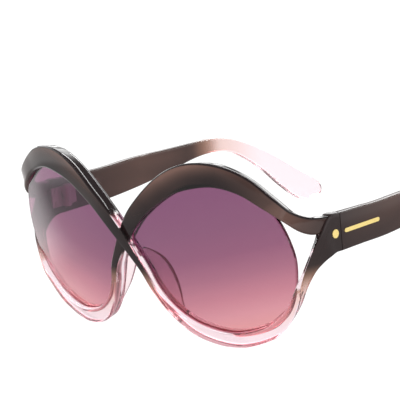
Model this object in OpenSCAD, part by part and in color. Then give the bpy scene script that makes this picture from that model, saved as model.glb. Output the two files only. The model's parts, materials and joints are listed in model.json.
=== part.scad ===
// Oversized sunglasses with two ribbon bands that cross at the bridge.
// The glasses stand on the rim bottoms and the temple tips, with the temples open.
// Left and right are the wearer's: left is +X. The front looks along -Y.

/* [Front] */
// Size of a rim, near its outer radius
rim_size = 32; // [26:0.1:38]
// Distance between the two rims at the nose
bridge_width = 11.6; // [8:0.1:16]
// How far the temples' outer faces stand out past the rims
endpiece_out = 0.9; // [0:0.1:4]
// Length of the end piece from the leg's last bend back to the hinge
endpiece_length = 5; // [4:0.1:8]
// Radius of the sphere that the front follows
wrap_radius = 165; // [110:1:240]
// Depth of the ribbon bands, front to back
band_depth = 5.2; // [4:0.1:7]
// Rounding on the bands' long edges
band_round = 0.9; // [0.4:0.05:1.6]
// How far each band leaves the common surface where they cross
cross_lift = 0.6; // [0.3:0.1:1.5]

/* [Lenses] */
// Distance from the bands' front face back to the lens
lens_back = 1.7; // [1.4:0.1:2.6]
// Lens thickness
lens_thick = 1.7; // [1.4:0.1:2]
// Free play of a lens in its groove
lens_play = 0.04; // [0.02:0.01:0.1]

/* [Temples] */
// Height of the temple at the hinge
temple_height = 13.2; // [10:0.1:16]
// Height of the temple's middle above the lens centres
temple_z = 5.6; // [2:0.1:8]
// Thickness of the temple at the hinge
temple_thick = 3.6; // [3:0.1:4.6]
// Thickness of the temple tip
tip_thick = 2.8; // [2.2:0.1:3.6]
// Length from the hinge to the tip, measured straight back
temple_length = 144; // [125:1:155]
// Rounding on the temple's long edges
temple_round = 0.8; // [0.4:0.05:1.2]

/* [Hinges] */
// Gap between the end piece and the temple
hinge_gap = 0.3; // [0.3:0.05:0.6]
// Distance from the temple's outer face in to the hinge axis
hinge_in = 5.7; // [5:0.1:7]
// Outer radius of the hinge barrels
barrel_radius = 1.5; // [1.2:0.05:1.7]
// Radius of the hinge screw
screw_radius = 0.7; // [0.5:0.05:0.9]
// Radial clearance of the hinge screw
screw_play = 0.04; // [0.02:0.01:0.08]
// Height of one barrel
barrel_height = 2.4; // [1.8:0.1:3]
// Gap between barrels
barrel_gap = 0.1; // [0.06:0.02:0.3]
// Thickness of the leaf plates
leaf_thick = 1.0; // [0.8:0.05:1.4]
// Length of the leaf plates
leaf_length = 5.4; // [4.5:0.1:7]
// Radius of the leaf screws
leaf_screw_radius = 0.55; // [0.4:0.05:0.7]
// Length of the leaf screws
leaf_screw_length = 2.4; // [1.8:0.1:2.8]

/* [Nose pads] */
// Depth of a pad, front to back
pad_depth = 7; // [5.5:0.1:9]
// Thickness of a pad
pad_thick = 1.9; // [1.6:0.1:2.4]
// How deep a pad is set into its band
pad_seat = 0.8; // [0.5:0.1:0.9]

/* [Trim] */
// Radius of the stud on each end piece
stud_radius = 1.5; // [1:0.1:2]
// Length of the bar on each temple
bar_length = 16.5; // [8:0.5:20]
// Width of the bar on each temple
bar_width = 1.4; // [1:0.1:2.4]
// How far the trim stands out of the surface
trim_proud = 0.25; // [0.1:0.05:0.5]
// How deep the trim is set in
trim_deep = 0.8; // [0.5:0.1:1.2]

/* [Rest] */
// Depth of the flats that the glasses stand on
flat_depth = 0.7; // [0.4:0.05:0.9]

/* [Hidden] */
$fn = 40;
// Sideways distance from the centre line to the middle of a lens
lens_x = rim_size + bridge_width / 2;
// Half of the frame's width, centre line to the outer face of a temple
half_width = lens_x + rim_size + endpiece_out;
// Lean of the front: the tops of the lenses stand forward
front_lean = 8;
sphere_y = wrap_radius * cos(front_lean);
sphere_z = wrap_radius * sin(front_lean);
// Rows along the brow, from the end piece to the nose: angle, outer, inner and back outer shares of
// rim_size, and how far the outer edge rolls forward as a share of band_depth
brow_shares = [[40, 1.03, 0.855, 1.00, 0], [60, 1.028, 0.81, 1.00, 0], [80, 1.035, 0.78, 1.018, 0.10],
  [100, 1.04, 0.755, 1.01, 0.16], [120, 1.03, 0.77, 0.995, 0.17], [145, 1.06, 0.843, 1.03, 0.17],
  [166, 1.215, 1.01, 1.19, 0]];
// Rows along the lower rim, from the nose to the leg: angle, inner share, outer share of rim_size,
// and how far the depth turns from square to the sphere to straight back
lower_shares = [[190, 0.925, 1.05, 0], [208, 0.915, 1.02, 0], [226, 0.915, 1.04, 0], [246, 0.905, 1.075, 0],
  [270, 0.897, 1.073, 0], [295, 0.892, 1.045, 0], [312, 0.892, 1.012, 0.05], [325, 0.89, 0.988, 0.25]];
// The brow's way round the corner: top edge, bottom edge, inward and back shares of half_width
corner_shares = [[[0.998, 0.432, 0.170], [0.996, 0.360, 0.095], [-0.045, 0.000, 0]],
  [[0.988, 0.360, 0.176], [0.976, 0.300, 0.102], [-0.042, 0.020, 0]],
  [[0.968, 0.290, 0.190], [0.952, 0.242, 0.130], [-0.035, 0.038, -0.008]],
  [[0.932, 0.222, 0.229], [0.918, 0.185, 0.180], [-0.025, 0.055, -0.018]]];
// The leg up to the hinge face: gap edge, crease, flare edge, inner back edge, as shares of half_width
leg_shares = [
  [[0.913, 0.239, -0.128], [0.943, 0.245, -0.124], [0.929, 0.307, -0.152], [0.896, 0.307, -0.152]],
  [[0.937, 0.267, -0.060], [0.966, 0.262, -0.046], [0.966, 0.329, -0.084], [0.929, 0.331, -0.084]],
  [[0.958, 0.300, 0.019], [0.986, 0.293, 0.028], [0.987, 0.371, -0.045], [0.941, 0.372, -0.045]],
  [[0.962, 0.345, 0.095], [1.000, 0.340, 0.100], [1.000, 0.412, -0.024], [0.950, 0.412, -0.024]]];
// The last rows before the hinge gap: distance in front of it at the top and at the bottom
hinge_shares = [[0.072, 0.034], [0, 0]];
// Lens outline, anticlockwise from the outer side: angle, share of rim_size
lens_shares = [[0, 0.859], [20, 0.856], [35, 0.862], [50, 0.856], [62, 0.840], [80, 0.810], [100, 0.786],
  [120, 0.803], [140, 0.862], [152, 0.928], [162, 1.010], [170, 1.075], [176, 1.075], [182, 1.015],
  [190, 0.960], [210, 0.943], [226, 0.943], [246, 0.933], [270, 0.925], [295, 0.919], [312, 0.912],
  [326, 0.895], [340, 0.868]];
// Temple centre line and height: back, up and height as shares of temple_length
temple_shares = [[0.000, 0.000, 0.0917], [0.080, -0.001, 0.0898], [0.165, -0.002, 0.0870],
  [0.285, 0.0035, 0.0795], [0.390, 0.0083, 0.0620], [0.490, 0.0142, 0.044], [0.565, 0.0128, 0.038],
  [0.630, 0.001, 0.037], [0.690, -0.025, 0.041], [0.770, -0.073, 0.052], [0.849, -0.132, 0.068],
  [0.915, -0.178, 0.073], [0.960, -0.1965, 0.062], [0.985, -0.204, 0.040], [0.996, -0.207, 0.020]];
// The pad along its band: angle, share of rim_size, share of pad_depth
pad_shares = [[181, 1.045, 0.15], [186, 1.045, 0.62], [192, 1.040, 0.94], [199, 1.025, 1.02],
  [207, 1.010, 0.92], [215, 1.010, 0.70], [222, 1.015, 0.38], [227, 1.020, 0.18], [230, 1.025, 0.07]];
steps = 4;
lens_steps = 5;
leg_back_share = 0.412;
hinge_y = leg_back_share * half_width + endpiece_length;
axis_x = half_width - hinge_in;
inner_x = half_width - temple_thick;
temple_front = hinge_y + hinge_gap / 2;
endpiece_back = hinge_y - hinge_gap / 2;
plate_x = inner_x - 0.5 * leaf_thick;
plate_high = 3 * barrel_height + 2 * barrel_gap;
leaf_gap = hinge_gap / 2 + 0.05 * leaf_length;
seat_play = 0.02;
head_radius = 1.5 * leaf_screw_radius;
head_high = 0.6 * leaf_screw_radius;
front_colour = [0.30, 0.24, 0.22];
lens_colour = [0.62, 0.40, 0.52];
clear_colour = [0.93, 0.86, 0.88];
metal_colour = [0.70, 0.68, 0.67];
gold_colour = [0.83, 0.66, 0.30];
// Lowest point of a rim, as a share of rim_size, and of a temple, back and down, of temple_length
rim_low_share = 1.075;
tip_low_shares = [0.95, 0.223];
// The plane that the glasses rest on goes through the rim bottoms and the temple tips
rim_low_y = front_y(lens_x, -rim_low_share * rim_size) + band_round;
rim_low_z = -rim_low_share * rim_size + flat_depth;
tip_low_y = temple_front + tip_low_shares[0] * temple_length;
tip_low_z = temple_z - tip_low_shares[1] * temple_length + flat_depth;
rest_turn = -atan2(tip_low_z - rim_low_z, tip_low_y - rim_low_y);
rest_lift = -(rim_low_y * sin(rest_turn) + rim_low_z * cos(rest_turn));
// The origin is midway between the front of the crossing and the temple tips
cross_up = 0.4 * rim_size;
tip_back_shares = [0.9985, 0.197];
front_reach = (front_y(0, cross_up) - cross_lift) * cos(rest_turn) - cross_up * sin(rest_turn);
back_reach = (temple_front + tip_back_shares[0] * temple_length) * cos(rest_turn)
  - (temple_z - tip_back_shares[1] * temple_length) * sin(rest_turn);
rest_shift = -(front_reach + back_reach) / 2;

function front_y(x, z) = sphere_y - sqrt(pow(wrap_radius, 2) - pow(x, 2) - pow(z - sphere_z, 2));
function on_front(x, z) = [x, front_y(x, z), z];
function inward(p) = ([0, sphere_y, sphere_z] - p) / norm([0, sphere_y, sphere_z] - p);
function polar(side, angle, radius) = on_front(side * (lens_x + radius * cos(angle)), radius * sin(angle));
function flip(p, side) = [side * p[0], p[1], p[2]];
function row(fl, fr, br, bl, r) = concat(fl, fr, br, bl, [r]);
function back_way(p, straight) = unit((1 - straight) * inward(p) + straight * [0, 1, 0]);
function pair(fl, fr, depth, lift, straight, r) = row(fl + lift * inward(fl), fr + lift * inward(fr),
  fr + lift * inward(fr) + depth * back_way(fr, straight),
  fl + lift * inward(fl) + depth * back_way(fl, straight), r);
function brow_row(side, c, lift) = let (fl = polar(-side, c[0], c[1] * rim_size),
  fr = polar(-side, c[0], c[2] * rim_size), bl = polar(-side, c[0], c[3] * rim_size))
  row(fl + (lift - c[4] * band_depth) * inward(fl), fr + lift * inward(fr),
  fr + (lift + band_depth) * inward(fr), bl + (lift + band_depth) * inward(bl), band_round);
function spline(a, b, c, d, t) = b
  + 0.5 * t * (c - a + t * (2 * a - 5 * b + 4 * c - d + t * (3 * (b - c) + d - a)));
function smooth(rows, n) = [for (i = [0 : len(rows) - 2]) for (k = [0 : n - 1])
  spline(rows[max(i - 1, 0)], rows[i], rows[i + 1], rows[min(i + 2, len(rows) - 1)], k / n),
  rows[len(rows) - 1]];
function smooth_loop(rows, n) = [for (i = [0 : len(rows) - 1]) for (k = [0 : n - 1])
  spline(rows[(i + len(rows) - 1) % len(rows)], rows[i], rows[(i + 1) % len(rows)],
  rows[(i + 2) % len(rows)], k / n)];
function unit(v) = v / norm(v);
function corner(q, i) = [q[3 * i], q[3 * i + 1], q[3 * i + 2]];
function middle(q) = (corner(q, 0) + corner(q, 1) + corner(q, 2) + corner(q, 3)) / 4;
function corner_arc(q, i) = let (p = corner(q, i), a = corner(q, (i + 3) % 4), b = corner(q, (i + 1) % 4),
  r = min(q[12], 0.42 * norm(a - p), 0.42 * norm(b - p)), v = unit(a - p), u = unit(b - p))
  [for (turn = [0, 45, 90]) p + r * (u + v) - r * (u * cos(turn) + v * sin(turn))];
function ring(q) = [for (i = [0 : 3]) each corner_arc(q, i)];

// A tube through four-cornered rows, with every long edge rounded
module ribbon(rows, n) {
  fine = smooth(rows, n);
  rings = [for (q = fine) ring(q)];
  m = len(rings[0]);
  last = len(rings) - 1;
  points = concat([for (q = rings) each q], [middle(fine[0]), middle(fine[last])]);
  walls = [for (i = [0 : last - 1]) for (j = [0 : m - 1]) let (k = (j + 1) % m)
    each [[i * m + j, (i + 1) * m + k, i * m + k], [i * m + j, (i + 1) * m + j, (i + 1) * m + k]]];
  caps = [for (j = [0 : m - 1]) let (k = (j + 1) % m)
    each [[j, k, len(points) - 2], [last * m + k, last * m + j, len(points) - 1]]];
  polyhedron(points = points, faces = concat(walls, caps), convexity = 8);
}

// One band, from the end piece on one side over the brow and across to the other side's rim and leg.
// The values of side are 1 for the band that starts on the wearer's right.
function band_rows(side, lift) = concat(
  [for (c = corner_shares) let (t = half_width * flip(c[0], -side), b = half_width * flip(c[1], -side),
    d = half_width * flip(c[2], -side)) row(t, b, b + d, t + d, band_round)],
  [for (c = brow_shares) brow_row(side, c, c[0] > 150 ? lift : 0)],
  [for (c = lower_shares) pair(polar(side, c[0], c[1] * rim_size), polar(side, c[0], c[2] * rim_size),
    band_depth, c[0] < 200 ? 0.5 * lift : 0, c[3], band_round)],
  [for (c = leg_shares) row(half_width * flip(c[0], side), half_width * flip(c[1], side),
    half_width * flip(c[2], side), half_width * flip(c[3], side), 0.6 * band_round)],
  [for (c = hinge_shares) let (y = endpiece_back - c[0] * half_width, z = endpiece_back - c[1] * half_width,
    top = temple_z + temple_height / 2, low = temple_z - temple_height / 2)
    row([side * inner_x, y, top], [side * half_width, y, top],
    [side * half_width, z, low], [side * inner_x, z, low], 0.6 * band_round)]);

module rest() {
  translate([0, rest_shift, rest_lift]) rotate([rest_turn, 0, 0]) children();
}

module on_side(side) {
  if (side > 0)
    children();
  if (side < 0)
    mirror([1, 0, 0]) children();
}

module below_floor() {
  translate([-half_width - rim_size, -temple_length, -rim_size])
    cube([2 * (half_width + rim_size), 2 * temple_length, rim_size]);
}

module band_pair() {
  ribbon(band_rows(1, -cross_lift), steps);
  mirror([1, 0, 0]) ribbon(band_rows(1, cross_lift), steps);
}

// A lens of the wearer's left, cut from the shell between two spheres
module lens_shape(play) {
  rim = [for (c = lens_shares) (c[1] * rim_size + play) * [cos(c[0]), sin(c[0])]];
  outline = smooth_loop(rim, lens_steps);
  intersection() {
    translate([lens_x, rim_size, 0]) rotate([90, 0, 0]) linear_extrude(2 * rim_size) polygon(outline);
    translate([0, sphere_y, sphere_z]) difference() {
      sphere(wrap_radius - lens_back + play, $fn = 160);
      sphere(wrap_radius - lens_back - lens_thick - play, $fn = 160);
    }
  }
}

function pad_row(c, play) = let (base = polar(1, c[0], c[1] * rim_size), n = inward(base),
  fr = base + (band_depth - pad_seat - play) * n - [play, 0, 0],
  br = base + (band_depth + c[2] * pad_depth) * n + [0.3 * c[2] * pad_depth - play, 0, 0])
  row(fr + [pad_thick + 2 * play, 0, 0], fr, br, br + [0.7 * pad_thick + 2 * play, 0, 0], 0.35 * pad_thick);

module pad_shape(play) {
  ribbon([for (c = pad_shares) pad_row(c, play)], steps);
}

function temple_slope(i) = let (a = temple_shares[max(i - 1, 0)],
  b = temple_shares[min(i + 1, len(temple_shares) - 1)]) atan2(b[1] - a[1], b[0] - a[0]);

function temple_row(i) = let (c = temple_shares[i], half = 0.5 * c[2] * temple_length,
  y = temple_front + c[0] * temple_length, z = temple_z + c[1] * temple_length,
  turn = i == 0 ? 0 : temple_slope(i), up = half * [0, -sin(turn), cos(turn)],
  in = -(temple_thick + (tip_thick - temple_thick) * c[0]),
  round = i == 0 ? 0.6 * temple_round : temple_round)
  row([half_width + in, y, z] + up, [half_width, y, z] + up, [half_width, y, z] - up,
  [half_width + in, y, z] - up, round);

module temple_shape() {
  ribbon([for (i = [0 : len(temple_shares) - 1]) temple_row(i)], steps);
}

// One barrel, counted from the middle one
module barrel(level, hole) {
  translate([axis_x, hinge_y, temple_z + level * (barrel_height + barrel_gap) - barrel_height / 2])
    difference() {
      cylinder(r = barrel_radius, h = barrel_height);
      translate([0, 0, -barrel_height]) cylinder(r = hole, h = 3 * barrel_height);
    }
}

// The neck between a barrel and its plate, in front of the axis for way -1 and behind it for way 1
module neck(level, way, hole) {
  low = temple_z + level * (barrel_height + barrel_gap) - barrel_height / 2;
  wide = barrel_radius - hinge_gap / 2;
  translate([0, 0, low]) difference() {
    translate([axis_x, hinge_y + (way > 0 ? hinge_gap / 2 : -barrel_radius), 0])
      cube([plate_x - axis_x + leaf_thick / 2 - seat_play, wide, barrel_height]);
    translate([axis_x, hinge_y, -barrel_height]) cylinder(r = hole, h = 3 * barrel_height);
  }
}

// A leaf plate with a hole for each of its two screws, in front of the gap for way -1
module plate(way, play) {
  translate([plate_x - play, hinge_y + (way > 0 ? leaf_gap - play : -leaf_gap - leaf_length - play),
    temple_z - plate_high / 2 - play])
    cube([leaf_thick + 2 * play, leaf_length + 2 * play, plate_high + 2 * play]);
}

module at_leaf_screws(way) {
  for (up = [-1, 1]) translate([plate_x, hinge_y + way * (leaf_gap + 0.62 * leaf_length),
    temple_z + up * 0.3 * plate_high]) rotate([0, 90, 0]) children();
}

module leaf(way, levels, hole) {
  difference() {
    union() {
      plate(way, 0);
      for (level = levels) barrel(level, hole);
      for (level = levels) neck(level, way, hole);
    }
    at_leaf_screws(way) translate([0, 0, -leaf_thick])
      cylinder(r = leaf_screw_radius + seat_play, h = 3 * leaf_thick);
  }
}

module leaf_screws(way) {
  at_leaf_screws(way) {
    translate([0, 0, -head_high]) cylinder(r = head_radius, h = head_high);
    cylinder(r = leaf_screw_radius, h = leaf_screw_length);
  }
}

module leaf_holes(way) {
  at_leaf_screws(way) cylinder(r = leaf_screw_radius + seat_play, h = leaf_screw_length + seat_play);
}

module stud(play) {
  translate([half_width - trim_deep, endpiece_back - 1.9 * stud_radius, temple_z]) rotate([0, 90, 0])
    cylinder(r = stud_radius + play, h = trim_deep + trim_proud);
}

module bar(play) {
  start = temple_front + 1.6 * bar_width;
  translate([half_width - trim_deep, start, temple_z]) {
    for (y = [0, bar_length]) translate([0, y, 0]) rotate([0, 90, 0])
      cylinder(r = bar_width / 2 + play, h = trim_deep + trim_proud);
    translate([0, 0, -bar_width / 2 - play]) cube([trim_deep + trim_proud, bar_length, bar_width + 2 * play]);
  }
}

module front_frame() {
  color(front_colour) rest() difference() {
    band_pair();
    for (side = [1, -1]) on_side(side) {
      lens_shape(lens_play);
      pad_shape(seat_play);
      plate(-1, seat_play);
      leaf_holes(-1);
      stud(seat_play);
      translate([axis_x, hinge_y, temple_z - plate_high])
        cylinder(r = barrel_radius + 2 * hinge_gap, h = 2 * plate_high);
    }
    floor_cut();
  }
}

module floor_cut() {
  rotate([-rest_turn, 0, 0]) translate([0, -rest_shift, -rest_lift]) below_floor();
}

module lens(side) {
  color(lens_colour) rest() on_side(side) lens_shape(0);
}

module nose_pad(side) {
  color(clear_colour) rest() on_side(side) pad_shape(0);
}

module temple(side) {
  color(front_colour) rest() on_side(side) difference() {
    temple_shape();
    plate(1, seat_play);
    leaf_holes(1);
    bar(seat_play);
    floor_cut();
  }
}

module hinge_front_leaf(side) {
  color(metal_colour) rest() on_side(side) leaf(-1, [-1, 1], screw_radius + seat_play);
}

module hinge_temple_leaf(side) {
  color(metal_colour) rest() on_side(side) leaf(1, [0], screw_radius + screw_play);
}

module hinge_screw(side) {
  low = temple_z - plate_high / 2;
  color(metal_colour) rest() on_side(side) translate([axis_x, hinge_y, low]) difference() {
    union() {
      cylinder(r = screw_radius, h = plate_high);
      translate([0, 0, plate_high + seat_play]) cylinder(r = 1.7 * screw_radius, h = screw_radius);
      cylinder(r = screw_radius, h = plate_high + screw_radius);
    }
    translate([-2 * screw_radius, -0.2 * screw_radius, plate_high + 0.5 * screw_radius])
      cube([4 * screw_radius, 0.4 * screw_radius, screw_radius]);
  }
}

module front_leaf_screws(side) {
  color(metal_colour) rest() on_side(side) leaf_screws(-1);
}

module temple_leaf_screws(side) {
  color(metal_colour) rest() on_side(side) leaf_screws(1);
}

module endpiece_stud(side) {
  color(gold_colour) rest() on_side(side) stud(0);
}

module temple_bar(side) {
  color(gold_colour) rest() on_side(side) bar(0);
}

front_frame();
lens(1);  // lens_left
lens(-1);  // lens_right
nose_pad(1);  // nose_pad_left
nose_pad(-1);  // nose_pad_right
temple(1);  // temple_left
temple(-1);  // temple_right
hinge_front_leaf(1);  // hinge_front_leaf_left
hinge_front_leaf(-1);  // hinge_front_leaf_right
hinge_temple_leaf(1);  // hinge_temple_leaf_left
hinge_temple_leaf(-1);  // hinge_temple_leaf_right
hinge_screw(1);  // hinge_screw_left
hinge_screw(-1);  // hinge_screw_right
front_leaf_screws(1);  // front_leaf_screws_left
front_leaf_screws(-1);  // front_leaf_screws_right
temple_leaf_screws(1);  // temple_leaf_screws_left
temple_leaf_screws(-1);  // temple_leaf_screws_right
endpiece_stud(1);  // endpiece_stud_left
endpiece_stud(-1);  // endpiece_stud_right
temple_bar(1);  // temple_bar_left
temple_bar(-1);  // temple_bar_right
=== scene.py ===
import json
import math

import bpy
import numpy as np
from mathutils import Matrix, Vector


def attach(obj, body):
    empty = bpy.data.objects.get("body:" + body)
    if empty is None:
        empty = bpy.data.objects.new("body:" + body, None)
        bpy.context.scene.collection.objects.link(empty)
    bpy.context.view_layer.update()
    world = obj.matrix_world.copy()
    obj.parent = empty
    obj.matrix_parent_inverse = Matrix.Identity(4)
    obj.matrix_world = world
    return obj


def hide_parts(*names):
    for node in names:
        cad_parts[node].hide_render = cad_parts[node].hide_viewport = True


# Oversized sunglasses: two ribbon bands that cross at the bridge, tinted lenses and folding temples.
# The worn frame has +X to the wearer's left, +Y back and +Z up, in millimetres, with its origin at the
# bridge.

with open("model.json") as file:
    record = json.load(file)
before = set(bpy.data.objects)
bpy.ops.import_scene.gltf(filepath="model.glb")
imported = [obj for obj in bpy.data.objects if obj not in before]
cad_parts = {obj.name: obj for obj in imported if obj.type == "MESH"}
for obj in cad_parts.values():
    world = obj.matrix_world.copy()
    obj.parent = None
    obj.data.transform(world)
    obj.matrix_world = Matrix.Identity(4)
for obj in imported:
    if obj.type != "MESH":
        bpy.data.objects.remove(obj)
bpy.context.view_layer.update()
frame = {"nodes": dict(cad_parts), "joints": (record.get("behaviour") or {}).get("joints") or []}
nodes = frame["nodes"]
joint = frame["joints"][0]
print("frame loaded:", len(nodes), "nodes")


# Small helpers on whole arrays of vectors, which lie along the last axis

def unit(v):
    return v / np.maximum(np.linalg.norm(v, axis=-1, keepdims=True), 1e-9)


def dot(a, b):
    return (a * b).sum(axis=-1, keepdims=True)


def spline(rows, fine):
    # Catmull-Rom through the rows, the end rows repeated: each stretch is a cubic of its four nearest rows
    rows = np.asarray(rows, float)
    wide = np.concatenate([rows[:1], rows, rows[-1:]])
    t = np.arange((len(rows) - 1) * fine + 1) / fine
    i = np.minimum(t.astype(int), len(rows) - 2)
    t = (t - i)[:, None]
    a, b, c, d = (wide[i + k] for k in range(4))
    return b + 0.5 * t * (c - a + t * (2 * a - 5 * b + 4 * c - d + t * (3 * (b - c) + d - a)))


# Sizes that the whole front follows
front = {
    "rimSize": 32.0,
    "bridgeWidth": 11.6,
    "endpieceOut": 0.9,
    "endpieceLength": 5.0,
    "wrapRadius": 165.0,
    "lean": math.radians(8),
    "bandDepth": 5.2,
    "bandRound": 0.9,
    "crossLift": 0.6,
    "hingeGap": 0.3,
    "legBackShare": 0.412,
    "hingeRound": 0.6,  # how much of an edge's radius is left on the legs and at the hinges
}
lensX = front["rimSize"] + front["bridgeWidth"] / 2
halfWidth = lensX + front["rimSize"] + front["endpieceOut"]
hingeY = front["legBackShare"] * halfWidth + front["endpieceLength"]
ballCentre = front["wrapRadius"] * np.array([0, math.cos(front["lean"]), math.sin(front["lean"])])

temple = {
    "height": 13.2, "z": 5.6, "thick": 3.6, "tipThick": 2.8, "length": 144.0, "round": 0.8, "fine": 12,
    # How brown the paint glows, partly as a painted sheen: the numbers of some rings, and the strength at
    # each
    "glow": ((0, 20, 36, 48, 56, 64, 200), (0.1, 0.45, 0.9, 0.8, 0.5, 0.9, 0.9)),
    # Back, up and height as shares of the length, and how far each side draws in, in millimetres
    "rows": [(0.000, 0.000, 0.0917, 0), (0.080, -0.001, 0.0898, 0), (0.165, -0.002, 0.0870, 0),
             (0.285, 0.0035, 0.0795, 0), (0.390, 0.0083, 0.0620, 0), (0.490, 0.0142, 0.044, 0),
             (0.565, 0.0128, 0.038, 0), (0.630, 0.001, 0.037, 0), (0.690, -0.025, 0.041, 0),
             (0.770, -0.073, 0.052, 0), (0.849, -0.132, 0.068, 0), (0.915, -0.178, 0.073, 0),
             (0.960, -0.1965, 0.062, 0), (0.980, -0.2025, 0.046, 0), (0.991, -0.2058, 0.031, 0.1),
             (0.997, -0.2074, 0.018, 0.35), (0.9995, -0.2080, 0.007, 0.9)],
}

# The rest frame is the worn one turned about X and moved. The left hinge's axis and place in the CAD say how.
restTurn = math.atan2(-joint["axis"][1], joint["axis"][2])
restSin = math.sin(restTurn)
restCos = math.cos(restTurn)
hingeHere = np.array(joint["pos_m"]) * 1000
restShift = hingeHere[1] - (hingeY * restCos - temple["z"] * restSin)
restLift = hingeHere[2] - (hingeY * restSin + temple["z"] * restCos)
wornUp = (0, -restSin, restCos)
wornBack = (0, restCos, restSin)
turned = Matrix.Rotation(restTurn, 3, "X")


def toRest(p):
    # Worn millimetres to rest metres: a turn about X, a move, and nothing below the floor
    y = p[..., 1] * restCos - p[..., 2] * restSin + restShift
    z = np.maximum(p[..., 1] * restSin + p[..., 2] * restCos + restLift, 0)
    return np.stack([p[..., 0], y, z], axis=-1) / 1000


# Shader expressions. A Wire is a node's output that can be used in sums, and every operator adds a Math node.

class Wire:
    def __init__(self, finish, socket):
        self.finish = finish
        self.socket = socket

    def math(self, operation, *values):
        return self.finish.node("Math", {"operation": operation}, values)

    def __add__(self, other):
        return self.math("ADD", self, other)

    __radd__ = __add__

    def __sub__(self, other):
        return self.math("SUBTRACT", self, other)

    def __rsub__(self, other):
        return self.math("SUBTRACT", other, self)

    def __mul__(self, other):
        return self.math("MULTIPLY", self, other)

    __rmul__ = __mul__

    def __truediv__(self, other):
        return self.math("DIVIDE", self, other)


# A Finish is one material. Its node method takes a type, then settings, then the values or links of its
# sockets.

class Finish:
    def __init__(self, name):
        self.material = bpy.data.materials.new(name)
        self.material.use_nodes = True
        self.tree = self.material.node_tree
        self.tree.nodes.clear()

    def node(self, kind, settings=None, values=None, output=0):
        made = self.tree.nodes.new("ShaderNode" + kind)
        for key, value in (settings or {}).items():
            if key == "stops":
                ramp = made.color_ramp.elements
                while len(ramp) < len(value):
                    ramp.new(1)
                for element, (place, colour) in zip(ramp, value):
                    element.position = place
                    element.color = colour
            else:
                setattr(made, key, value)
        for key, value in values.items() if isinstance(values, dict) else enumerate(values or []):
            if isinstance(value, Wire):
                self.tree.links.new(value.socket, made.inputs[key])
            elif value is not None:
                made.inputs[key].default_value = value
        return Wire(self, made.outputs[output]) if made.outputs else made

    def place(self):
        return self.node("TexCoord", output="Object")

    def along(self, direction, start=0.0):
        # Distance in millimetres along a direction, from a start
        lined = self.node("VectorMath", {"operation": "DOT_PRODUCT"}, [self.place(), direction], "Value")
        return lined * 1000 - start

    def step(self, value, low, high):
        # 0 below low, 1 above high, and smooth between them
        return self.node("MapRange", {"interpolation_type": "SMOOTHSTEP"}, {"Value": value, 1: low, 2: high})

    def mix(self, factor, a, b):
        return self.node("Mix", {"data_type": "RGBA"}, {0: factor, 6: a, 7: b}, 2)

    def noise(self, scale, detail=2.0, stretch=(1, 1, 1)):
        stretched = self.node("Mapping", {}, {"Vector": self.place(), "Scale": stretch})
        return self.node("TexNoise", {}, {"Vector": stretched, "Scale": scale, "Detail": detail})

    def bump(self, height, strength, distance):
        return self.node("Bump", {}, {"Strength": strength, "Distance": distance, "Height": height})

    def surface(self, shader):
        self.node("OutputMaterial", {}, {"Surface": shader})
        return self.material


def hexColour(text):
    # A screen colour such as "c08040" as linear values, by the sRGB curve
    parts = [int(text[i:i + 2], 16) / 255 for i in (0, 2, 4)]
    return tuple(c / 12.92 if c <= 0.04045 else ((c + 0.055) / 1.055) ** 2.4 for c in parts) + (1.0,)


def letLampsThrough(made, shader, tint):
    # Rays from lamps pass the plastic as tinted light, so that it casts a pale shadow
    lampRay = made.node("LightPath", output="Is Shadow Ray")
    return made.node("MixShader", {}, [lampRay, shader, made.node("BsdfTransparent", {}, {"Color": tint})])


smoke = {
    # The paint and its brown, which is partly a painted sheen, the near-black strip by the lens, which is a
    # painted dark reflection, the amber and milk of the fade, and the lens's seam in paint and in clear
    # plastic
    "dark": "1f1718", "brown": "6a5048", "strip": "171313", "amber": "94705f", "milk": "f0cccf",
    "seam": ("a85c74", "d08c9c"),
    # The clear plastic's tint at the fade and beyond it
    "frontTints": ("e6b8aa", "f4e4ea"), "templeTints": ("e6ccc6", "fae9ee"),
    # Cloudy patches: their fineness and stretch, between which values of the noise they turn brown, and how
    # much of the glow, partly a painted sheen, shows in them and away from the brow's lens side
    "patch": 26, "patchStretch": (1.0, 0.45, 1.6), "patchTurn": (0.42, 0.66), "patchGlow": 0.4,
    "awayBrownAndSheen": 2.4,
    # Between which shades the paint turns amber, how far the patches shift that, and between which shades it
    # turns milky, the seam turns to its second rose, paint gives way to glass and the tint to its second
    "amberTurn": (0.0, 0.6), "amberShift": 0.3, "milkTurn": (0.6, 1.2), "seamTurn": (0.2, 1.4),
    "glassTurn": (0.2, 0.95), "tintTurn": (0.8, 2.2),
    # Between which values at the vertices the paint, the strip of painted dark reflection and the seam set in
    "paintEdge": (0.15, 0.35), "darkReflectionEdge": (0.8, 0.95), "seamEdge": (0.4, 0.9),
    "rough": 0.06, "ior": 1.4, "glassShare": 0.965, "glassRough": 0.02, "glassIor": 1.47,
    "ripple": 60, "rippleStrength": 0.05, "rippleDepth": 0.0004,
}
fades = {
    # On the front: the worn height of the fade's middle at the nose and at the left leg, between which
    # distances to the left it changes, and half the fade's height
    "noseHeight": -12.5, "legHeight": -9.3, "noseToLeg": (12.0, 62.0), "half": 6.3,
    # On the temples: how far back the fade's middle is, and half its length
    "templeBack": 113.0, "templeHalf": 10.0,
}


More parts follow.
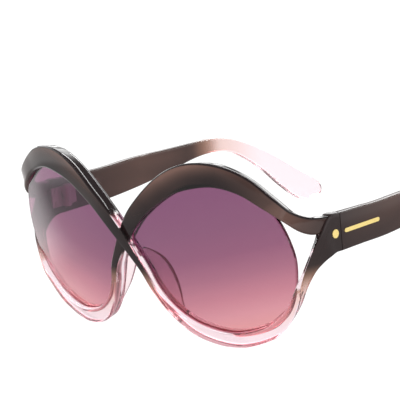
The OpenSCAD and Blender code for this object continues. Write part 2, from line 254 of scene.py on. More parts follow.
def fadedPlastic(name, shade, tints):
    # Smoke-brown paint with cloudy patches on clear pink plastic. shade runs from 0, dark, to 1, clear.
    # Values at the vertices say where there is paint, how near the brow's lens side is, where a near-black
    # strip is painted along it as a dark reflection, how strong the seam of the lens is and how brown the
    # paint glows, partly its own translucent brown and partly a painted sheen. The glow grows with the cube
    # of how far the lens side is, which paints the front face lighter towards the brow's upper edge as a
    # highlight.
    made = Finish(name)
    paint, across, seam, glow = (made.node("Attribute", {"attribute_name": value}, output="Fac")
                                 for value in ("paint", "across", "seam", "glow"))
    paint = made.step(paint, *smoke["paintEdge"])
    fade = shade(made)
    cloud = made.noise(smoke["patch"], stretch=smoke["patchStretch"])
    away = 1 - across
    patches = made.step(cloud, *smoke["patchTurn"]) * smoke["patchGlow"]
    # The brown glow is partly a painted sheen, with a painted highlight away from the brow's lens side
    body = made.mix(glow * (patches + away * away * away * smoke["awayBrownAndSheen"]),
                    hexColour(smoke["dark"]), hexColour(smoke["brown"]))
    # The near-black strip along the brow's lens side is a painted dark reflection
    body = made.mix(made.step(across, *smoke["darkReflectionEdge"]), body, hexColour(smoke["strip"]))
    cloudy = fade + (cloud - 0.5) * smoke["amberShift"]
    body = made.mix(made.step(cloudy, *smoke["amberTurn"]), body, hexColour(smoke["amber"]))
    body = made.mix(made.step(fade, *smoke["milkTurn"]), body, hexColour(smoke["milk"]))
    seam = made.step(seam, *smoke["seamEdge"])
    rose = made.mix(made.step(fade, *smoke["seamTurn"]), *(hexColour(colour) for colour in smoke["seam"]))
    body = made.mix(seam, body, rose)
    ripple = made.bump(made.noise(smoke["ripple"], detail=1), smoke["rippleStrength"], smoke["rippleDepth"])
    solid = made.node("BsdfPrincipled", {}, {
        "Base Color": body, "Roughness": smoke["rough"], "IOR": smoke["ior"], "Normal": ripple})
    amber, clear = (hexColour(tint) for tint in tints)
    tint = made.mix(made.step(fade, *smoke["tintTurn"]) * paint + (1 - paint), amber, clear)
    glass = made.node("BsdfPrincipled", {}, {
        "Base Color": tint, "Roughness": smoke["glassRough"], "IOR": smoke["glassIor"],
        "Transmission Weight": 1.0, "Normal": ripple})
    glass = letLampsThrough(made, glass, clear)
    bare = (1 - (1 - made.step(fade, *smoke["glassTurn"])) * paint) * (1 - seam)
    return made.surface(made.node("MixShader", {}, [bare * smoke["glassShare"], solid, glass]))


def wornHeight(made):
    # Millimetres above the bridge, in the worn frame
    return made.along(wornUp, restLift * restCos - restShift * restSin)


def toLeft(made):
    # Millimetres to the wearer's left
    return made.node("SeparateXYZ", {}, [made.place()], "X") * 1000


def frontShade(made):
    # Half at the fade's middle height, and clearer below it
    nose, leg = fades["noseHeight"], fades["legHeight"]
    middle = nose + made.step(toLeft(made), *fades["noseToLeg"]) * (leg - nose)
    return 0.5 - (wornHeight(made) - middle) / (2 * fades["half"])


def templeShade(made):
    # Half at the fade's middle, and clearer behind it
    back = made.along(wornBack, restShift * restCos + restLift * restSin)
    return 0.5 + (back - fades["templeBack"]) / (2 * fades["templeHalf"])


lens = {
    "back": 1.7, "thick": 1.7, "play": 0.04, "bevel": 0.12, "rings": 26, "fine": 8, "sharp": 50,
    "ior": 1.5, "shadow": "b98296",
    # The tints by worn height, and how far they rise with each millimetre out from the lens's middle
    "tints": [(-27, "db999c"), (-22, "d1909a"), (-16, "bf7d8c"), (-8, "a2687d"), (0, "8c5772"),
              (10, "82526f"), (22, "7e4d6e")],
    "tilt": 0.24,
    # The ground rim: its colour on the nose side and the outer side, between which distances out from the
    # lens's middle that turns, how much of it shows, and its roughness and fine grain
    "rims": ("f4ccd0", "5a2436"), "rimTurn": (-14.0, 0.0), "rimShare": 0.9,
    "rimRough": 0.3, "grain": 400, "grainRough": 0.1,
    # Anticlockwise from the outer side: angle, share of rimSize
    "outline": [(0, 0.859), (20, 0.856), (35, 0.862), (50, 0.856), (62, 0.840), (80, 0.810),
                (100, 0.786), (120, 0.803), (140, 0.862), (152, 0.928), (162, 1.010), (170, 1.075),
                (176, 1.075), (182, 1.015), (190, 0.960), (210, 0.943), (226, 0.943), (246, 0.933),
                (270, 0.925), (295, 0.919), (312, 0.912), (326, 0.895), (340, 0.868)],
}


def lensGlass():
    # Glass whose tint changes with height, and a ground rim, pale by the nose and dark on the outer side
    made = Finish("lens")
    left = toLeft(made)
    outward = left.math("ABSOLUTE", left) - lensX
    height = wornHeight(made) - outward * lens["tilt"]
    low, high = lens["tints"][0][0], lens["tints"][-1][0]
    stops = [((z - low) / (high - low), hexColour(c)) for z, c in lens["tints"]]
    place = made.node("MapRange", {}, {"Value": height, 1: low, 2: high})
    glass = made.node("BsdfPrincipled", {}, {
        "Base Color": made.node("ValToRGB", {"stops": stops}, [place]), "Roughness": 0.0,
        "IOR": lens["ior"], "Transmission Weight": 1.0})
    rims = (hexColour(colour) for colour in lens["rims"])
    rimColour = made.mix(made.step(outward, *lens["rimTurn"]), *rims)
    rimRough = made.noise(lens["grain"]) * lens["grainRough"] + lens["rimRough"]
    ground = made.node("BsdfPrincipled", {}, {
        "Base Color": rimColour, "Roughness": rimRough, "IOR": lens["ior"]})
    rim = made.node("Attribute", {"attribute_name": "rim"}, output="Fac")
    shader = made.node("MixShader", {}, [rim * lens["rimShare"], glass, ground])
    return made.surface(letLampsThrough(made, shader, hexColour(lens["shadow"])))


# Surfaces swept through rows. A row has four corners (three values each) and then its other values. A ring
# always has six points in a rounded corner and six in a groove.

sections = {
    # The most of a side that a corner's radius takes, and for a groove its lip, the most of the depth that
    # the lip takes, and the least depth
    "roundShare": 0.42, "lip": 0.12, "lipShare": 0.3, "leastDepth": 0.02,
}
cornerPoints = 6
groovePoints = 6
plainRing = 4 * cornerPoints
bandRing = plainRing + 2 * groovePoints


def cornerArc(corner, before, after, radius):
    # A quarter turn that replaces a corner: the corner moved in along both edges, less a turning radius
    v = before - corner
    u = after - corner
    shorter = np.minimum(np.linalg.norm(v, axis=1), np.linalg.norm(u, axis=1))
    r = np.minimum(radius, sections["roundShare"] * shorter)[:, None, None]
    v = unit(v)[:, None, :]
    u = unit(u)[:, None, :]
    turn = np.linspace(0, math.pi / 2, cornerPoints)[None, :, None]
    return corner[:, None, :] + r * (u + v) - r * (u * np.cos(turn) + v * np.sin(turn))


def grooveOn(start, end, across, low, high, deep):
    # Six points of a groove in the edge from start to end. It opens between two distances along the edge and
    # sinks in the direction across.
    w = unit(end - start)
    n = unit(across - dot(across, w) * w)
    deep = np.maximum(deep, sections["leastDepth"])
    lip = np.minimum(sections["lip"], sections["lipShare"] * deep)
    flat = 0 * deep
    stops = ((low - lip, flat), (low, lip), (low, deep), (high, deep), (high, lip), (high + lip, flat))
    return np.stack([start + along[:, None] * w + sink[:, None] * n for along, sink in stops], axis=1)


def sweep(rows, grooves=()):
    # Rings of points through splined rows. Each ring runs round four rounded corners. grooves holds
    # (side, low, high, deep) with one value per row, where a side is the corner that it starts from.
    corners = [rows[:, 3 * k:3 * k + 3] for k in range(4)]
    parts = []
    for k in range(4):
        before, here, after = corners[k - 1], corners[k], corners[(k + 1) % 4]
        parts.append(cornerArc(here, before, after, rows[:, 12]))
        for side, low, high, deep in grooves:
            if side == k:
                parts.append(grooveOn(here, after, before - here, low, high, deep))
    return np.concatenate(parts, axis=1)


def tubeFaces(rings, count):
    # Quads between neighbouring rings of a closed section
    i, j = np.meshgrid(np.arange(rings - 1), np.arange(count), indexing="ij")
    k = (j + 1) % count
    quads = np.stack([i * count + j, (i + 1) * count + j, (i + 1) * count + k, i * count + k], axis=-1)
    return quads.reshape(-1, 4)


def makePiece(name, vertices, faces, material, body, replaces, sharp=35):
    # A smooth-shaded mesh in rest metres that stands for its CAD node
    mesh = bpy.data.meshes.new(name)
    mesh.from_pydata(vertices, [], faces)
    mesh.validate()
    mesh.polygons.foreach_set("use_smooth", np.ones(len(mesh.polygons), bool))
    mesh.set_sharp_from_angle(angle=math.radians(sharp))
    mesh.materials.append(material)
    piece = bpy.data.objects.new(name, mesh)
    bpy.context.scene.collection.objects.link(piece)
    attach(piece, body)
    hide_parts(replaces)
    return piece


def sweptMesh(rings, flipped):
    # Vertices and faces of a closed tube with a cap at both ends. flipped turns its faces round.
    n, m, _ = rings.shape
    faces = [list(q) for q in tubeFaces(n, m)] + [list(range(m)), list(range(n * m - 1, (n - 1) * m - 1, -1))]
    return rings.reshape(-1, 3), [f[::-1] for f in faces] if flipped else faces


def addValue(piece, name, values):
    # A value at every vertex, which a material can read
    piece.data.attributes.new(name, "FLOAT", "POINT").data.foreach_set("value", values)


# The front: its outline in rows of shares, as in the CAD model

def sphereBack(x, z, radius):
    # How far back a sphere about the front's centre lies at x and z: the centre's distance less the root of
    # radius squared less x squared less the square of the height from the centre
    return ballCentre[1] - np.sqrt(radius ** 2 - x ** 2 - (z - ballCentre[2]) ** 2)


def onRim(side, angle, share):
    # A point of the front's sphere by its angle round a lens and its share of the rim size
    radius = share * front["rimSize"]
    x = side * (lensX + radius * math.cos(math.radians(angle)))
    z = radius * math.sin(math.radians(angle))
    return np.array([x, sphereBack(x, z, front["wrapRadius"]), z])


bands = {
    # Along the brow: angle, outer, inner and back outer shares, and how far the outer edge rolls forward
    "brow": [(40, 1.03, 0.855, 1.00, 0), (60, 1.028, 0.81, 1.00, 0), (80, 1.035, 0.78, 1.018, 0.10),
             (100, 1.04, 0.755, 1.01, 0.16), (120, 1.03, 0.77, 0.995, 0.17), (145, 1.06, 0.843, 1.03, 0.17),
             (166, 1.215, 1.01, 1.19, 0)],
    # Along the lower rim: angle, inner share, outer share, and how far the depth turns to straight back
    "lower": [(190, 0.925, 1.05, 0), (208, 0.915, 1.02, 0), (226, 0.915, 1.04, 0), (246, 0.905, 1.075, 0),
              (270, 0.897, 1.073, 0), (295, 0.892, 1.045, 0), (312, 0.892, 1.012, 0.05),
              (325, 0.89, 0.988, 0.25)],
    # Round the corner: top edge, bottom edge, and the way inward and back, as shares of halfWidth
    "corner": [((0.998, 0.432, 0.170), (0.996, 0.360, 0.095), (-0.045, 0.000, 0)),
               ((0.988, 0.360, 0.176), (0.976, 0.300, 0.102), (-0.042, 0.020, 0)),
               ((0.968, 0.290, 0.190), (0.952, 0.242, 0.130), (-0.035, 0.038, -0.008)),
               ((0.932, 0.222, 0.229), (0.918, 0.185, 0.180), (-0.025, 0.055, -0.018))],
    # Up the leg: gap edge, crease, flare edge and inner back edge, as shares of halfWidth
    "leg": [((0.913, 0.239, -0.128), (0.943, 0.245, -0.124), (0.929, 0.307, -0.152), (0.896, 0.307, -0.152)),
            ((0.937, 0.267, -0.060), (0.966, 0.262, -0.046), (0.966, 0.329, -0.084), (0.929, 0.331, -0.084)),
            ((0.958, 0.300, 0.019), (0.986, 0.293, 0.028), (0.987, 0.371, -0.045), (0.941, 0.372, -0.045)),
            ((0.962, 0.345, 0.095), (1.000, 0.340, 0.100), (1.000, 0.412, -0.024), (0.950, 0.412, -0.024))],
    # Brow rows past the first angle are lifted over the other band, and rim rows before the second by a
    # share of that
    "crossing": (150, 200), "rimLift": 0.5,
    # How brown the paint glows, row by row, partly as a painted sheen, and how much of that shows on the band
    # that starts at the right brow and on the one that starts at the left; the difference is painted light
    "glow": [0.2, 0.3, 0.5, 0.9, 0.15, 0.12, 0.25, 0.5, 0.5, 0.12, 0.0, 0.1, 0.4, 0.5, 0.5, 0.4, 0.3, 0.2,
             0.2, 0.2, 0.2, 0.15, 0.1, 0.1, 0.1],
    "brownAndSheenShare": (0.6, 1.0),
    # How dark the painted dark reflection along the brow's lens side is, row by row of the brow
    "strip": [0, 0.3, 0.9, 1, 0.85, 0.6, 0.3],
    # How strong the seam along the lower rim is, row by row of the rim
    "seam": [0.65, 0.65, 0.8, 1, 1, 0.7, 0.6, 0.5],
    # Before the hinge gap: distance in front of it at the top and at the bottom
    "hinge": [(0.072, 0.034), (0, 0)],
    "fine": 14,
}


def lensReach(angle):
    # Share of the rim size at which the lens ends, at an angle
    angles, shares = zip(*lens["outline"])
    return np.interp(angle, angles, shares, period=360)


def bandRows(side, lift):
    # One band from the end piece over the brow and across to the other side's rim and leg. Each row holds
    # four corners, the edge radius, the groove's depth on either side and the lift.
    rim = front["rimSize"]
    depth = front["bandDepth"]
    edge = front["bandRound"]
    browEnd, rimStart = bands["crossing"]
    mirror = np.array([-side, 1, 1])
    rows = []
    for shares in bands["corner"]:
        t, b, d = (halfWidth * np.array(v) * mirror for v in shares)
        rows.append([*t, *b, *(b + d), *(t + d), edge, 0, 0, 0])
    for angle, outer, inner, backOuter, roll in bands["brow"]:
        here = lift if angle > browEnd else 0
        a, b, c = (onRim(-side, angle, share) for share in (outer, inner, backOuter))
        da, db, dc = (unit(ballCentre - v) for v in (a, b, c))
        groove = (lensReach(angle) - inner) * rim
        rows.append([*(a + (here - roll * depth) * da), *(b + here * db), *(b + (here + depth) * db),
                     *(c + (here + depth) * dc), edge, groove, 0, here])
    for angle, inner, outer, straight in bands["lower"]:
        here = bands["rimLift"] * lift if angle < rimStart else 0
        a, b = onRim(side, angle, inner), onRim(side, angle, outer)
        da, db = unit(ballCentre - a), unit(ballCentre - b)
        back = straight * np.array([0, 1, 0])
        wa, wb = unit((1 - straight) * da + back), unit((1 - straight) * db + back)
        groove = (lensReach(angle) - inner) * rim
        rows.append([*(a + here * da), *(b + here * db), *(b + here * db + depth * wb),
                     *(a + here * da + depth * wa), edge, 0, groove, here])
    mirror = np.array([side, 1, 1])
    edge = front["hingeRound"] * edge
    for corners in bands["leg"]:
        rows.append([*np.concatenate([halfWidth * np.array(v) * mirror for v in corners]), edge, 0, 0, 0])
    inner = side * (halfWidth - temple["thick"])
    outer = side * halfWidth
    high, low = temple["z"] + temple["height"] / 2, temple["z"] - temple["height"] / 2
    for topShare, lowShare in bands["hinge"]:
        top = hingeY - front["hingeGap"] / 2 - topShare * halfWidth
        foot = hingeY - front["hingeGap"] / 2 - lowShare * halfWidth
        rows.append([inner, top, high, outer, top, high, outer, foot, low, inner, foot, low, edge, 0, 0, 0])
    return spline(rows, bands["fine"])


def bandRings(side, lift):
    # The band's rings, with the brow's groove after corner 1 and the lower rim's after corner 3, where it is
    # measured from behind
    rows = bandRows(side, lift)
    low = lens["back"] - lens["play"] - rows[:, 15]
    high = low + lens["thick"] + 2 * lens["play"]
    depth = front["bandDepth"]
    return sweep(rows, [(1, low, high, rows[:, 13]), (3, depth - high, depth - low, rows[:, 14])])


# Parts of a band's ring, by the first and last of their points. The points run from corner 0 to corner 3, so
# the front face lies between 5 and 6, the brow's lens side follows corner 1 and the lower rim's, corner 3.
ringParts = {
    "all": (0, 35), "frontFace": (5, 7), "frontAndEdge": (5, 11), "lensEdge": (6, 11),
    "frontToBack": (5, 23), "legOutside": (8, 21), "browGroove": (13, 16), "rimGroove": (31, 34),
}


def onRing(name):
    # 1 at the points of a part of the ring, and 0 at the others
    first, last = ringParts[name]
    place = np.arange(bandRing)
    return ((place >= first) & (place <= last)) * 1.0


def alongRows(rows):
    # Values of a ring's vertices, given for each row, at every ring between the rows and for both bands
    rows = np.array(rows)
    t = np.arange((len(rows) - 1) * bands["fine"] + 1) / bands["fine"]
    i = np.minimum(t.astype(int), len(rows) - 2)
    t = (t - i)[:, None]
    return np.tile(((1 - t) * rows[i] + t * rows[i + 1]).ravel(), 2)


# The rows in order: the corner's, the brow's, the lower rim's, the leg's and the hinge's
cornerRows, browRows, rimRows, legRows, hingeRows = (
    len(bands[name]) for name in ("corner", "brow", "lower", "leg", "hinge"))


def bandPaint():
    # Which of a band's vertices are painted: all of the brow, but in its last row only the front face and its
    # edge, the front face of the lower rim, the outer side of the leg, and all at the hinge
    return alongRows([onRing("all")] * (cornerRows + browRows - 1) + [onRing("frontAndEdge")]
                     + [onRing("frontFace")] * rimRows + [onRing("legOutside")] * legRows
                     + [onRing("all")] * hingeRows)


def bandAcross():
    # How near a vertex is to the brow's lens side, from 0 to 1, and half of that far from the brow
    # Near the lens side this sets the painted dark reflection; away from it, the painted highlight
    half = 0.5 * onRing("all")
    return alongRows([half] * cornerRows + [strength * onRing("lensEdge") for strength in bands["strip"]]
                     + [half] * (rimRows + legRows + hingeRows))


def bandSeam():
    # The vertices inside the lens's groove: along the brow but its last row, and along the lower rim
    none = 0 * onRing("all")
    return alongRows([none] * cornerRows + [onRing("browGroove")] * (browRows - 1) + [none]
                     + [strength * onRing("rimGroove") for strength in bands["seam"]]
                     + [none] * (legRows + hingeRows))


def bandBrownAndSheen():
    # How brown a vertex glows, partly as a painted sheen, by its row and band, and not at all from the brow's
    # outer back edge over its top to the front face
    values = alongRows([glow * onRing("frontToBack") for glow in bands["glow"]])
    return values * np.repeat(bands["brownAndSheenShare"], len(values) // 2)


pointsA, facesA = sweptMesh(toRest(bandRings(1, -front["crossLift"])), True)
pointsB, facesB = sweptMesh(toRest(bandRings(-1, front["crossLift"])), False)
facesB = [[i + len(pointsA) for i in f] for f in facesB]
frontPlastic = fadedPlastic("frame_front", frontShade, smoke["frontTints"])
frontPiece = makePiece("front_shell", np.concatenate([pointsA, pointsB]), facesA + facesB, frontPlastic,
                       "front", "front_frame")
addValue(frontPiece, "paint", bandPaint())
addValue(frontPiece, "across", bandAcross())
addValue(frontPiece, "seam", bandSeam())
addValue(frontPiece, "glow", bandBrownAndSheen())
print("front:", len(frontPiece.data.polygons), "faces")


def lensMesh(side):
    # Two concentric spheres inside the outline, joined by a bevelled rim. A ring's share runs from the middle
    # to the edge, and the depth is the sphere's at that place. The last values say which rings are the rim.
    angles, shares = (np.array(v, float) for v in zip(*lens["outline"]))
    around = np.stack([np.cos(np.radians(angles)), np.sin(np.radians(angles))], -1)
    flat = around * shares[:, None] * front["rimSize"]
    looped = np.concatenate([flat[-2:], flat, flat[:2]])
    edge = spline(looped, lens["fine"])[2 * lens["fine"]:-lens["fine"] - 1]
    bevel, thick = lens["bevel"], lens["thick"]
    ring = (1 - bevel / front["rimSize"]) * np.sin(np.linspace(0, math.pi / 2, lens["rings"]))[1:]
    steps = [(s, 0) for s in ring] + [(1, bevel), (1, thick - bevel)] + [(s, thick) for s in ring[::-1]]
    face = front["wrapRadius"] - lens["back"]
    rings = []
    for share, step in steps:
        x = side * (lensX + share * edge[:, 0])
        z = share * edge[:, 1]
        rings.append(np.stack([x, sphereBack(x, z, face - step), z], -1))
    rings = np.stack(rings)
    n, m, _ = rings.shape
    poles = [[side * lensX, sphereBack(lensX, 0, face - step), 0] for step in (0, thick)]
    faces = [list(q) for q in tubeFaces(n, m)] + [[n * m, j, (j + 1) % m] for j in range(m)]
    faces += [[n * m + 1, (n - 1) * m + (j + 1) % m, (n - 1) * m + j] for j in range(m)]
    if side < 0:
        faces = [f[::-1] for f in faces]
    rim = np.repeat([share == 1 and step > bevel for share, step in steps], m).astype(float)
    return toRest(np.concatenate([rings.reshape(-1, 3), poles])), faces, np.append(rim, [0, 0])


lensTint = lensGlass()
for side, name in ((1, "left"), (-1, "right")):
    points, faces, rim = lensMesh(side)
    piece = makePiece("tinted_lens_" + name, points, faces, lensTint,
                      "front", "lens_" + name, lens["sharp"])
    addValue(piece, "rim", rim)
print("lenses made")

pads = {
    # Along the band: angle, share of rimSize, share of the depth
    "rows": [(181, 1.045, 0.15), (186, 1.045, 0.62), (192, 1.040, 0.94), (199, 1.025, 1.02),
             (207, 1.010, 0.92), (215, 1.010, 0.70), (222, 1.015, 0.38), (227, 1.020, 0.18),
             (230, 1.025, 0.07)],
    "depth": 7.0, "thick": 1.9, "seat": 0.8, "fine": 12, "sharp": 60,
    # The free edge's lean aside as a share of its reach, and its thickness and the edge radius as shares of
    # the root's thickness
    "lean": 0.3, "tipThick": 0.7, "round": 0.35,
    "clear": "f8e6e9", "shadow": "f8e3e7", "rough": 0.03, "ior": 1.46,
    "ripple": 90, "rippleStrength": 0.08, "rippleDepth": 0.0003,
    # The free edge: its colour, roughness, gloss, between which values it sets in, and how much of it shows
    "edge": "982e5e", "edgeRough": 0.3, "edgeGloss": 0.1, "edgeTurn": (0.85, 0.9), "edgeShare": 0.9,
}


def clearPlastic():
    # Pale glass with a dark rose free edge
    made = Finish("clear")
    ripple = made.bump(made.noise(pads["ripple"], detail=1), pads["rippleStrength"], pads["rippleDepth"])
    glass = made.node("BsdfPrincipled", {}, {
        "Base Color": hexColour(pads["clear"]), "Roughness": pads["rough"], "IOR": pads["ior"],
        "Transmission Weight": 1.0, "Normal": ripple})
    edge = made.node("BsdfPrincipled", {}, {
        "Base Color": hexColour(pads["edge"]), "Roughness": pads["edgeRough"], "IOR": pads["ior"],
        "Specular IOR Level": pads["edgeGloss"]})
    rim = made.step(made.node("Attribute", {"attribute_name": "rim"}, output="Fac"), *pads["edgeTurn"])
    shader = made.node("MixShader", {}, [rim * pads["edgeShare"], glass, edge])
    return made.surface(letLampsThrough(made, shader, hexColour(pads["shadow"])))


def padRows(side):
    # The pad's root in the band's back and its free edge behind it, row by row along the band
    rows = []
    mirror = np.array([side, 1, 1])
    thick = np.array([pads["thick"], 0, 0])
    for angle, rimShare, depthShare in pads["rows"]:
        base = onRim(1, angle, rimShare)
        back = unit(ballCentre - base)
        root = base + (front["bandDepth"] - pads["seat"]) * back
        reach = depthShare * pads["depth"]
        tip = base + (front["bandDepth"] + reach) * back + np.array([pads["lean"] * reach, 0, 0])
        corners = [root + thick, root, tip, tip + pads["tipThick"] * thick]
        rows.append([*np.concatenate([p * mirror for p in corners]), pads["round"] * pads["thick"]])
    return spline(rows, pads["fine"])


padPlastic = clearPlastic()
freeEdge = (np.arange(plainRing) >= 3 * cornerPoints) * 1.0
for side, name in ((1, "left"), (-1, "right")):
    points, faces = sweptMesh(toRest(sweep(padRows(side))), side > 0)
    piece = makePiece("clear_pad_" + name, points, faces, padPlastic,
                      "front", "nose_pad_" + name, pads["sharp"])
    addValue(piece, "rim", np.tile(freeEdge, len(points) // plainRing))
print("pads made")


def templeRings(side):
    # The temple's sections, square to its centre line, from the hinge back to the tip
    table = np.array(temple["rows"])
    rows = []
    for i, (back, up, high, drawIn) in enumerate(table):
        a, b = table[max(i - 1, 0)], table[min(i + 1, len(table) - 1)]
        turn = 0 if i == 0 else math.atan2(b[1] - a[1], b[0] - a[0])
        y = hingeY + front["hingeGap"] / 2 + back * temple["length"]
        z = temple["z"] + up * temple["length"]
        half = 0.5 * high * temple["length"] * np.array([0, -math.sin(turn), math.cos(turn)])
        thick = temple["thick"] + (temple["tipThick"] - temple["thick"]) * back
        inner = np.array([side * (halfWidth - thick + drawIn), y, z])
        outer = np.array([side * (halfWidth - drawIn), y, z])
        edge = temple["round"] * (front["hingeRound"] if i == 0 else 1)
        rows.append([*(inner + half), *(outer + half), *(outer - half), *(inner - half), edge])
    return sweep(spline(rows, temple["fine"]))


templePlastic = fadedPlastic("frame_temple", templeShade, smoke["templeTints"])
for side, name in ((1, "left"), (-1, "right")):
    points, faces = sweptMesh(toRest(templeRings(side)), side > 0)
    piece = makePiece("temple_arm_" + name, points, faces, templePlastic,
                      name + "_temple", "temple_" + name)
    addValue(piece, "paint", np.ones(len(points)))
    addValue(piece, "across", np.full(len(points), 0.5))
    # The brown glow of the paint ring by ring, partly a painted sheen
    glow = np.interp(np.arange(len(points) // plainRing), *temple["glow"])
    addValue(piece, "glow", np.repeat(glow, plainRing))
print("temples made")

metals = {
    # Colour, shadow colour, roughness, and how the hairlines are squeezed along each axis
    "hinge": ("d9d2d0", "b8b0ae", 0.35, (1, 1, 6)),
    "trim": ("ffe99c", "f4d680", 0.24, (1, 6, 1)),
}
hairlines = {"fine": 900, "rough": 0.18, "strength": 0.12, "depth": 0.00005, "metallic": 0.55}


def brushedMetal(name, colour, shadow, rough, squeeze):
    # Metal whose colour, roughness and height follow one noise of fine hairlines
    made = Finish(name)
    hair = made.noise(hairlines["fine"], stretch=squeeze)
    return made.surface(made.node("BsdfPrincipled", {}, {
        "Base Color": made.mix(hair, hexColour(shadow), hexColour(colour)),
        "Roughness": rough + (hair - 0.5) * hairlines["rough"], "Metallic": hairlines["metallic"],
        "Normal": made.bump(hair, hairlines["strength"], hairlines["depth"])}))


def metalSlot(name):
    # Gold on the stud and the bar, steel on the hinges and screws, and nothing for the other nodes
    if "stud" in name or "bar" in name:
        return "trim"
    return "hinge" if "hinge" in name or "screws" in name else None


# The metal nodes keep their shape from the CAD
finishes = {name: brushedMetal(name, *values) for name, values in metals.items()}
for name, piece in nodes.items():
    slot = metalSlot(name)
    if slot:
        piece.data.materials.clear()
        piece.data.materials.append(finishes[slot])
print("metal finished")

# Stage, light and camera, in metres
studio = {
    # The floor: its colour, roughness, gloss and glow, half its width, and how far it lies under the glasses
    "floor": "808080", "rough": 0.9, "gloss": 0.1, "glow": 0.87, "size": 6.0, "below": 0.0002,
    # Reflections see its glow only near a place, and this is where it fades
    "litFrom": (-0.15, 0.15, 0), "litTo": (0.75, 0.95),
    # How much of the glow reflections see: everywhere, and more to the wearer's right beside and behind the
    # glasses, to the right in front of them, and to the left. Each of these sets in between two distances to
    # the right, and in front turns to behind between two distances back.
    "mirrored": 0.35, "beside": 1.0, "besideTurn": (0.08, 0.14), "inFront": 0.6, "inFrontTurn": (0.24, 0.3),
    "left": 0.5, "leftTurn": (-0.22, -0.17), "backTurn": (-0.115, -0.07),
    # The light round the stage has a bright side: the way to it, between which shares of that way it sets in,
    # and for its wide and its low part the heights between which it starts and ends
    "skyFrom": (-0.7, 0.7, 0), "skySide": (-0.9, 0.6),
    "skyParts": (((0.16, 0.22), (0.38, 0.55)), ((0.0, 0.03), (0.095, 0.125))),
    # Its strength there and elsewhere, what reflections lose and rays through glass gain of the second, and
    # the tint of those rays
    "bright": 3.2, "dim": 0.42, "glossyLoss": 0.55, "throughGain": 1.2, "throughTint": "f0c4c8",
    # Soft lights: start, end, width, watts, and whether reflections see them
    "strips": {
        "left_strip": ((-0.75, -0.1, 0.45), (0.05, -0.4, 0.85), 0.04, 1.3, True),
        "back_strip": ((-0.5, 0.65, 0.42), (0.3, 0.65, 0.62), 0.015, 0.6, True),
        "fill": ((0.7, -0.1, 0.5), (0.4, -0.6, 0.5), 0.4, 4.5, False),
        "high_strip": ((-0.5, 0.62, 0.52), (0.3, 0.6, 0.74), 0.015, 0.6, True),
    },
}


def makeStage():
    # A pale floor that glows round the glasses, as a light table does. Reflections see a share of its glow
    # that depends on the place, and none far away.
    mesh = bpy.data.meshes.new("floor")
    s = studio["size"]
    mesh.from_pydata([(-s, -s, 0), (s, -s, 0), (s, s, 0), (-s, s, 0)], [], [(0, 1, 2, 3)])
    made = Finish("floor")
    far = made.node("VectorMath", {"operation": "DISTANCE"}, [made.place(), studio["litFrom"]], "Value")
    inMirror = made.node("LightPath", output="Is Glossy Ray")
    inMirror = inMirror * (1 - made.node("LightPath", output="Is Transmission Ray"))
    right = made.node("SeparateXYZ", {}, [made.place()], "X") * -1
    behind = made.step(made.node("SeparateXYZ", {}, [made.place()], "Y"), *studio["backTurn"])
    share = made.step(right, *studio["besideTurn"]) * behind * studio["beside"] + studio["mirrored"]
    share = share + made.step(right, *studio["inFrontTurn"]) * (1 - behind) * studio["inFront"]
    share = share + (1 - made.step(right, *studio["leftTurn"])) * studio["left"]
    glow = 1 - inMirror + inMirror * share * (1 - made.step(far, *studio["litTo"]))
    mesh.materials.append(made.surface(made.node("BsdfPrincipled", {}, {
        "Base Color": hexColour(studio["floor"]), "Roughness": studio["rough"],
        "Specular IOR Level": studio["gloss"], "Emission Strength": studio["glow"],
        "Emission Color": made.node("CombineXYZ", {}, [glow, glow, glow])})))
    floor = bpy.data.objects.new("floor", mesh)
    floor.location.z = -studio["below"]
    bpy.context.scene.collection.objects.link(floor)


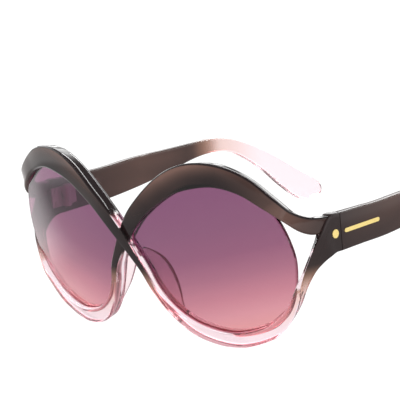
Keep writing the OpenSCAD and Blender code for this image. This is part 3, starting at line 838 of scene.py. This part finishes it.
def makeSky():
    # Bright behind and to the wearer's right in two bands of height, and dim elsewhere. Reflections see the
    # dim light weaker, and rays through glass see it stronger and all of the light tinted.
    world = bpy.data.worlds.new("studio")
    world.use_nodes = True
    made = Finish("sky")
    made.tree = world.node_tree
    made.tree.nodes.clear()
    way = made.node("TexCoord", output="Generated")
    share = made.node("VectorMath", {"operation": "DOT_PRODUCT"}, [way, Vector(studio["skyFrom"])], "Value")
    height = made.node("SeparateXYZ", {}, [way], "Z")
    wide, low = (made.step(height, *start) * (1 - made.step(height, *end))
                 for start, end in studio["skyParts"])
    light = (wide + low) * made.step(share, *studio["skySide"])
    through = made.node("LightPath", output="Is Transmission Ray")
    inMirror = made.node("LightPath", output="Is Glossy Ray") * (1 - through)
    dim = (1 - inMirror * studio["glossyLoss"] + through * studio["throughGain"]) * studio["dim"]
    light = light * (studio["bright"] - studio["dim"]) + dim
    tint = made.mix(through, (1, 1, 1, 1), hexColour(studio["throughTint"]))
    background = made.node("Background", {}, {"Color": tint, "Strength": light})
    made.node("OutputWorld", {}, {"Surface": background})
    bpy.context.scene.world = world


def addStrip(name, start, end, width, watts, mirrored):
    # A long soft light from start to end that faces the glasses. mirrored says whether reflections see it.
    start, end = Vector(start), Vector(end)
    middle = (start + end) / 2
    data = bpy.data.lights.new(name, "AREA")
    data.shape = "RECTANGLE"
    data.size = (end - start).length
    data.size_y = width
    data.energy = watts
    x = (end - start).normalized()
    y = middle.cross(x).normalized()
    strip = bpy.data.objects.new(name, data)
    strip.matrix_world = Matrix.Translation(middle) @ Matrix((x, y, x.cross(y))).transposed().to_4x4()
    strip.visible_glossy = mirrored
    bpy.context.scene.collection.objects.link(strip)


makeStage()
makeSky()
for name, values in studio["strips"].items():
    addStrip(name, *values)

# Worn degrees and millimetres: the way from the glasses to the camera, its roll, how far it stands, how far
# it is moved aside and up, and then its lens and sensor
camera = {
    "turn": 45.54, "height": 12.67, "roll": -5.35, "far": 807.29, "aside": 26.42, "above": 17.11,
    "lens": 210.16, "sensor": 36,
}


def makeCamera():
    turn, height = math.radians(camera["turn"]), math.radians(camera["height"])
    back = Vector((math.sin(turn) * math.cos(height), -math.cos(turn) * math.cos(height), math.sin(height)))
    aside = Vector((math.cos(turn), math.sin(turn), 0))
    roll = Matrix.Rotation(math.radians(camera["roll"]), 3, "Z")
    axes = Matrix((aside, back.cross(aside), back)).transposed() @ roll
    place = axes @ Vector((camera["aside"], camera["above"], camera["far"]))
    data = bpy.data.cameras.new("camera")
    data.lens = camera["lens"]
    data.sensor_width = camera["sensor"]
    view = bpy.data.objects.new("camera", data)
    view.matrix_world = Matrix.Translation(Vector(toRest(np.array(place)))) @ (turned @ axes).to_4x4()
    bpy.context.scene.collection.objects.link(view)
    bpy.context.scene.camera = view


makeCamera()
bpy.context.scene.view_settings.view_transform = "Standard"
print("stage, light and camera set")
